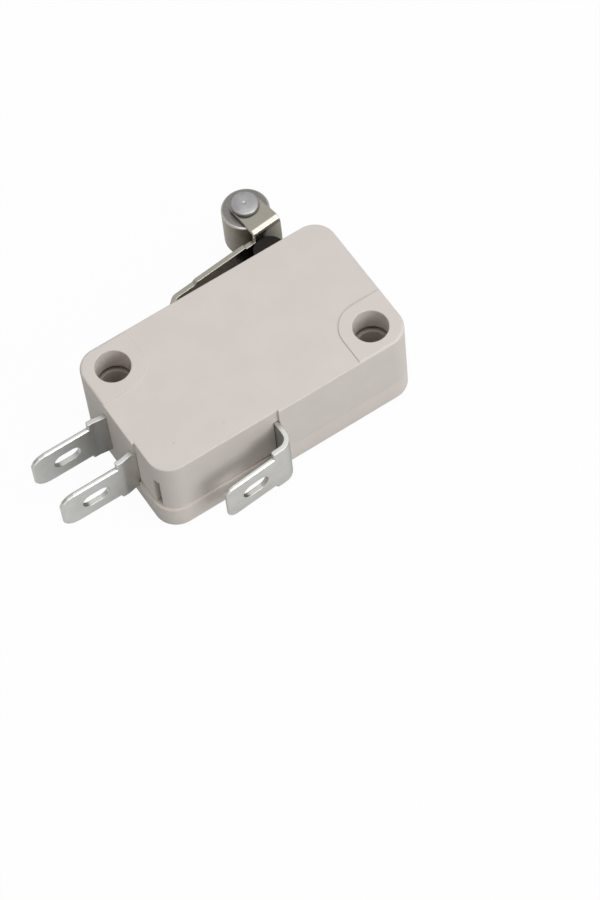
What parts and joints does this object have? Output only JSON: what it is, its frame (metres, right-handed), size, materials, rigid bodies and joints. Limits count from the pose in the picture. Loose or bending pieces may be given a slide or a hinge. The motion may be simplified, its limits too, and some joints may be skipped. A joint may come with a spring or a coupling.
{
  "type": "roller lever micro switch",
  "caption": "Snap-action micro switch in a pale plastic housing with flat plug-on tabs and a folded steel lever that carries a steel roller.",
  "frame": {"origin": "centre of the mounting hole at the corner below the roller's end, at the cover's large face", "axes": "+X along the length away from the two end tabs, +Y towards the lever, +Z through the thickness from cover to case"},
  "size_m": [0.0364, 0.028, 0.0103],
  "materials": {
    "case_plastic": "moulded, fine grain",
    "cover_plastic": "moulded, fine grain",
    "plunger_plastic": "moulded, smooth",
    "plated_brass": "tin plated, satin",
    "contact_silver": "silver",
    "bracket_brass": "satin",
    "spring_copper": "rolled sheet",
    "pressed_steel": "satin",
    "spring_steel": "drawn wire",
    "lever_steel": "rolled sheet, satin",
    "roller_steel": "turned",
    "pin_steel": "turned, satin"
  },
  "bodies": {
    "housing": {"case": "case_plastic", "cover": "cover_plastic", "nc_terminal": "plated_brass", "no_terminal": "plated_brass", "com_terminal": "plated_brass", "nc_contact": "contact_silver", "no_contact": "contact_silver", "bracket": "bracket_brass", "bracket_rivet_1": "bracket_brass", "bracket_rivet_2": "bracket_brass", "press_pin_1": "pressed_steel", "press_pin_2": "pressed_steel"},
    "lever_arm": {"lever": "lever_steel", "roller_pin": "pin_steel"},
    "roller_body": {"roller": "roller_steel"},
    "button": {"plunger": "plunger_plastic"},
    "inner_lever": {"press_lever": "pressed_steel"},
    "moving_arm": {"contact_arm": "spring_copper", "moving_contact": "contact_silver"},
    "spring_body": {"snap_spring": "spring_steel"}
  },
  "joints": [
    {"name": "lever_hinge", "type": "hinge", "parent": "housing", "child": "lever_arm", "pos_m": [-0.0162, 0.0119, 0.00515], "axis": [0, 0, 1], "range_deg": [-7, 0], "stiffness_Nm_per_rad": 0.128, "springref_deg": 2.69},
    {"name": "roller_spin", "type": "hinge", "parent": "lever_arm", "child": "roller_body", "pos_m": [-0.0017, 0.0196, 0.00515], "axis": [0, 0, 1], "continuous": true},
    {"name": "plunger_slide", "type": "slide", "parent": "housing", "child": "button", "axis": [0, -1, 0], "range_m": [0, 0.0018]},
    {"name": "press_lever_hinge", "type": "hinge", "parent": "housing", "child": "inner_lever", "pos_m": [-0.0108, 0.0073, 0.00515], "axis": [0, 0, 1], "range_deg": [-11.9, 0]},
    {"name": "contact_arm_hinge", "type": "hinge", "parent": "housing", "child": "moving_arm", "pos_m": [-0.00845, 0.0052, 0.00515], "axis": [0, 0, 1], "range_deg": [0, 4.3]},
    {"name": "spring_swing", "type": "hinge", "parent": "moving_arm", "child": "spring_body", "pos_m": [-0.01675, 0.00531, 0.00515], "axis": [0, 0, 1], "range_deg": [-7.4, 0]}
  ],
  "couplings": [
    {"joint": "plunger_slide", "follows": "lever_hinge", "m_per_rad": -0.01417},
    {"joint": "press_lever_hinge", "follows": "lever_hinge", "ratio": 1.68},
    {"joint": "contact_arm_hinge", "follows": "lever_hinge", "ratio": -0.6},
    {"joint": "spring_swing", "follows": "lever_hinge", "ratio": 1.04}
  ]
}
